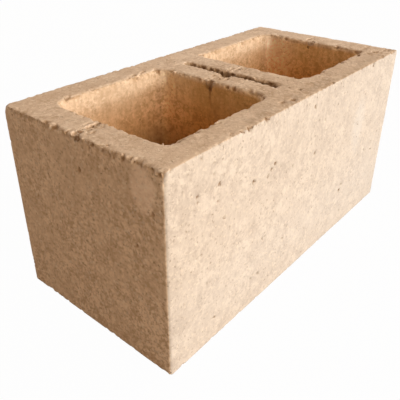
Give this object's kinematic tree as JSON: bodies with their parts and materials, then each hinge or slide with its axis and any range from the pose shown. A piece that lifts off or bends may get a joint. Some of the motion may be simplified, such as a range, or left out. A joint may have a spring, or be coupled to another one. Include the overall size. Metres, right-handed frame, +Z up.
{
  "type": "hollow concrete block",
  "caption": "Hollow concrete masonry block with drafted rectangular cores, a split slot across its middle web and a shallow bar groove along the webs; laid in mortar to build walls.",
  "frame": {"origin": "middle of the lower bed face, which the block stands on", "axes": "+X along the block's length, +Y across it, +Z up the cores to the upper bed face with the slot and bar groove"},
  "size_m": [0.39, 0.19, 0.19],
  "materials": {
    "concrete": "dry-cast concrete, sand-coloured, rough and open-pored"
  },
  "bodies": {
    "root": {"concrete_block": "concrete"}
  },
  "joints": []
}
